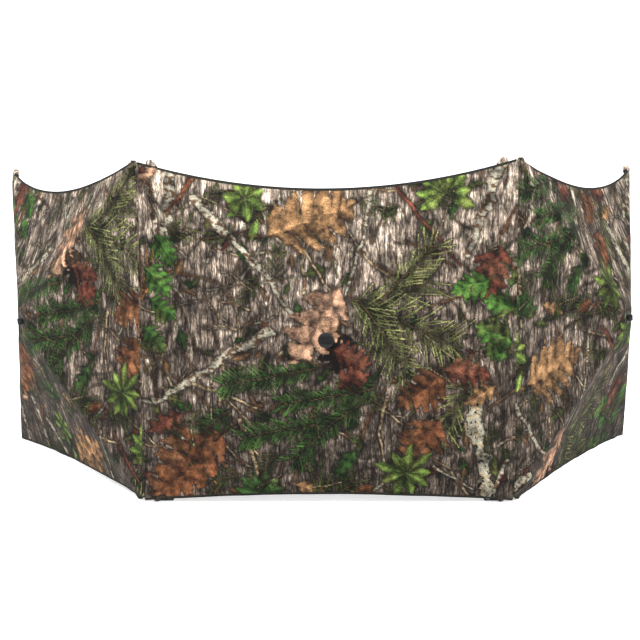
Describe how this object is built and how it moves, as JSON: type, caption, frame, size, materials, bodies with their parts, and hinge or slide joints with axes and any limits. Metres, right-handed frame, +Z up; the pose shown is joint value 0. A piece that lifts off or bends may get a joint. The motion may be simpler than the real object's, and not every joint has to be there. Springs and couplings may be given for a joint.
{
  "type": "panel ground blind",
  "caption": "Folding hub blind of hinged fabric panels on poles, each panel pushed outward by a hub, that screens a seated person.",
  "frame": {"origin": "middle of the footprint, on the ground", "axes": "+X across the centre panel, towards the wing on the right seen from outside; +Y from the centre panel towards the hider; +Z up"},
  "size_m": [2.284, 1.1394, 1.0145],
  "materials": {
    "fibreglass_rod": "smooth dark fibreglass rod",
    "steel_fitting": "plain steel",
    "black_plastic": "moulded black plastic",
    "black_webbing": "woven nylon webbing",
    "camo_cloth": "printed woven polyester, leaf and branch pattern outside, black inside",
    "edge_binding": "woven binding tape"
  },
  "bodies": {
    "centre_hub": {"centre_hub_body": "black_plastic", "centre_hub_pins": "steel_fitting", "centre_hub_cover": "black_plastic", "centre_pull_loop": "black_webbing", "centre_skin": "camo_cloth"},
    "centre_left_top_pole": {"centre_left_top_rod": "fibreglass_rod", "centre_left_top_ferrule": "steel_fitting", "centre_left_top_cap": "black_plastic"},
    "centre_left_bottom_pole": {"centre_left_bottom_rod": "fibreglass_rod", "centre_left_bottom_ferrule": "steel_fitting", "centre_left_bottom_cap": "black_plastic", "centre_left_bottom_stake_tab": "black_webbing"},
    "centre_right_top_pole": {"centre_right_top_rod": "fibreglass_rod", "centre_right_top_ferrule": "steel_fitting", "centre_right_top_cap": "black_plastic"},
    "centre_right_bottom_pole": {"centre_right_bottom_rod": "fibreglass_rod", "centre_right_bottom_ferrule": "steel_fitting", "centre_right_bottom_cap": "black_plastic", "centre_right_bottom_stake_tab": "black_webbing"},
    "left_corner": {"left_seam_welt": "edge_binding"},
    "left_edge": {"left_skin": "camo_cloth"},
    "left_tip": {"left_seam_gusset": "black_webbing"},
    "left_inner_top_pole": {"left_inner_top_rod": "fibreglass_rod", "left_inner_top_ferrule": "steel_fitting", "left_inner_top_cap": "black_plastic"},
    "left_hub": {"left_hub_body": "black_plastic", "left_hub_pins": "steel_fitting", "left_hub_cover": "black_plastic", "left_pull_loop": "black_webbing"},
    "left_outer_top_pole": {"left_outer_top_rod": "fibreglass_rod", "left_outer_top_ferrule": "steel_fitting", "left_outer_top_cap": "black_plastic"},
    "left_outer_bottom_pole": {"left_outer_bottom_rod": "fibreglass_rod", "left_outer_bottom_ferrule": "steel_fitting", "left_outer_bottom_cap": "black_plastic", "left_outer_bottom_stake_tab": "black_webbing"},
    "left_inner_bottom_pole": {"left_inner_bottom_rod": "fibreglass_rod", "left_inner_bottom_ferrule": "steel_fitting", "left_inner_bottom_cap": "black_plastic"},
    "right_corner": {"right_seam_welt": "edge_binding"},
    "right_edge": {"right_skin": "camo_cloth"},
    "right_tip": {"right_seam_gusset": "black_webbing"},
    "right_inner_top_pole": {"right_inner_top_rod": "fibreglass_rod", "right_inner_top_ferrule": "steel_fitting", "right_inner_top_cap": "black_plastic"},
    "right_hub": {"right_hub_body": "black_plastic", "right_hub_pins": "steel_fitting", "right_hub_cover": "black_plastic", "right_pull_loop": "black_webbing"},
    "right_inner_bottom_pole": {"right_inner_bottom_rod": "fibreglass_rod", "right_inner_bottom_ferrule": "steel_fitting", "right_inner_bottom_cap": "black_plastic"},
    "right_outer_top_pole": {"right_outer_top_rod": "fibreglass_rod", "right_outer_top_ferrule": "steel_fitting", "right_outer_top_cap": "black_plastic"},
    "right_outer_bottom_pole": {"right_outer_bottom_rod": "fibreglass_rod", "right_outer_bottom_ferrule": "steel_fitting", "right_outer_bottom_cap": "black_plastic", "right_outer_bottom_stake_tab": "black_webbing"}
  },
  "joints": [
    {"name": "frame_fold", "type": "hinge", "parent": "centre_hub", "child": "centre_left_top_pole", "pos_m": [0.02073, -0.54068, 0.52602], "axis": [0.696, 0, 0.7181], "range_deg": [0, 98.93], "deforming": ["centre_skin", "left_skin", "right_skin", "left_seam_welt", "right_seam_welt"]},
    {"name": "centre_left_bottom_turn", "type": "hinge", "parent": "centre_hub", "child": "centre_left_bottom_pole", "pos_m": [0.02073, -0.54068, 0.48844], "axis": [-0.696, 0, 0.7181], "range_deg": [0, 98.93]},
    {"name": "centre_right_top_turn", "type": "hinge", "parent": "centre_hub", "child": "centre_right_top_pole", "pos_m": [0.0595, -0.54068, 0.52602], "axis": [0.696, 0, -0.7181], "range_deg": [0, 98.93]},
    {"name": "centre_right_bottom_turn", "type": "hinge", "parent": "centre_hub", "child": "centre_right_bottom_pole", "pos_m": [0.0595, -0.54068, 0.48844], "axis": [-0.696, 0, -0.7181], "range_deg": [0, 98.93]},
    {"name": "left_corner_turn", "type": "hinge", "parent": "centre_left_top_pole", "child": "left_corner", "pos_m": [-0.47989, -0.38068, 1.01123], "axis": [0.696, 0, 0.7181], "range_deg": [-98.93, 0]},
    {"name": "left_wing_fold", "type": "hinge", "parent": "left_corner", "child": "left_edge", "pos_m": [-0.50989, -0.38669, 0.50723], "axis": [0, 0, -1], "range_deg": [-55, 60]},
    {"name": "left_tip_turn", "type": "hinge", "parent": "left_edge", "child": "left_tip", "pos_m": [-0.50989, -0.38669, 0.50723], "axis": [0, 0, -1], "range_deg": [-115, 0]},
    {"name": "left_inner_top_turn", "type": "hinge", "parent": "left_tip", "child": "left_inner_top_pole", "pos_m": [-0.52218, -0.35867, 1.01123], "axis": [0.3992, -0.5701, -0.7181], "range_deg": [0, 98.93]},
    {"name": "left_hub_turn", "type": "hinge", "parent": "left_inner_top_pole", "child": "left_hub", "pos_m": [-0.94038, -0.04036, 0.52602], "axis": [0.3992, -0.5701, -0.7181], "range_deg": [-98.93, 0]},
    {"name": "left_outer_top_turn", "type": "hinge", "parent": "left_hub", "child": "left_outer_top_pole", "pos_m": [-0.96283, -0.00831, 0.52565], "axis": [0.3914, -0.5589, 0.7311], "range_deg": [0, 98.93]},
    {"name": "left_outer_bottom_turn", "type": "hinge", "parent": "left_hub", "child": "left_outer_bottom_pole", "pos_m": [-0.96283, -0.00831, 0.4888], "axis": [-0.3914, 0.5589, 0.7311], "range_deg": [0, 98.93]},
    {"name": "left_inner_bottom_turn", "type": "hinge", "parent": "left_hub", "child": "left_inner_bottom_pole", "pos_m": [-0.94038, -0.04036, 0.48844], "axis": [-0.3992, 0.5701, -0.7181], "range_deg": [0, 98.93]},
    {"name": "right_corner_turn", "type": "hinge", "parent": "centre_right_top_pole", "child": "right_corner", "pos_m": [0.56011, -0.38068, 1.01123], "axis": [0.696, 0, -0.7181], "range_deg": [-98.93, 0]},
    {"name": "right_wing_fold", "type": "hinge", "parent": "right_corner", "child": "right_edge", "pos_m": [0.59011, -0.38669, 0.50723], "axis": [0, 0, 1], "range_deg": [-60, 55]},
    {"name": "right_tip_turn", "type": "hinge", "parent": "right_edge", "child": "right_tip", "pos_m": [0.59011, -0.38669, 0.50723], "axis": [0, 0, 1], "range_deg": [-115, 0]},
    {"name": "right_inner_top_turn", "type": "hinge", "parent": "right_tip", "child": "right_inner_top_pole", "pos_m": [0.59992, -0.3577, 1.01123], "axis": [0.348, 0.6027, 0.7181], "range_deg": [0, 98.93]},
    {"name": "right_hub_turn", "type": "hinge", "parent": "right_inner_top_pole", "child": "right_hub", "pos_m": [0.98879, -0.00416, 0.52602], "axis": [0.348, 0.6027, 0.7181], "range_deg": [-98.93, 0]},
    {"name": "right_inner_bottom_turn", "type": "hinge", "parent": "right_hub", "child": "right_inner_bottom_pole", "pos_m": [0.98879, -0.00416, 0.48844], "axis": [-0.348, -0.6027, 0.7181], "range_deg": [0, 98.93]},
    {"name": "right_outer_top_turn", "type": "hinge", "parent": "right_hub", "child": "right_outer_top_pole", "pos_m": [1.00835, 0.02972, 0.52565], "axis": [0.3412, 0.5909, -0.7311], "range_deg": [0, 98.93]},
    {"name": "right_outer_bottom_turn", "type": "hinge", "parent": "right_hub", "child": "right_outer_bottom_pole", "pos_m": [1.00835, 0.02972, 0.4888], "axis": [-0.3412, -0.5909, -0.7311], "range_deg": [0, 98.93]}
  ],
  "couplings": [
    {"joint": "centre_left_bottom_turn", "follows": "frame_fold", "ratio": 1},
    {"joint": "centre_right_top_turn", "follows": "frame_fold", "ratio": 1},
    {"joint": "centre_right_bottom_turn", "follows": "frame_fold", "ratio": 1},
    {"joint": "left_corner_turn", "follows": "frame_fold", "ratio": -1},
    {"joint": "left_tip_turn", "follows": "frame_fold", "ratio": -1.1624},
    {"joint": "left_inner_top_turn", "follows": "frame_fold", "ratio": 1},
    {"joint": "left_hub_turn", "follows": "frame_fold", "ratio": -1},
    {"joint": "left_outer_top_turn", "follows": "frame_fold", "ratio": 1},
    {"joint": "left_outer_bottom_turn", "follows": "frame_fold", "ratio": 1},
    {"joint": "left_inner_bottom_turn", "follows": "frame_fold", "ratio": 1},
    {"joint": "right_corner_turn", "follows": "frame_fold", "ratio": -1},
    {"joint": "right_tip_turn", "follows": "frame_fold", "ratio": -1.1624},
    {"joint": "right_inner_top_turn", "follows": "frame_fold", "ratio": 1},
    {"joint": "right_hub_turn", "follows": "frame_fold", "ratio": -1},
    {"joint": "right_inner_bottom_turn", "follows": "frame_fold", "ratio": 1},
    {"joint": "right_outer_top_turn", "follows": "frame_fold", "ratio": 1},
    {"joint": "right_outer_bottom_turn", "follows": "frame_fold", "ratio": 1}
  ]
}
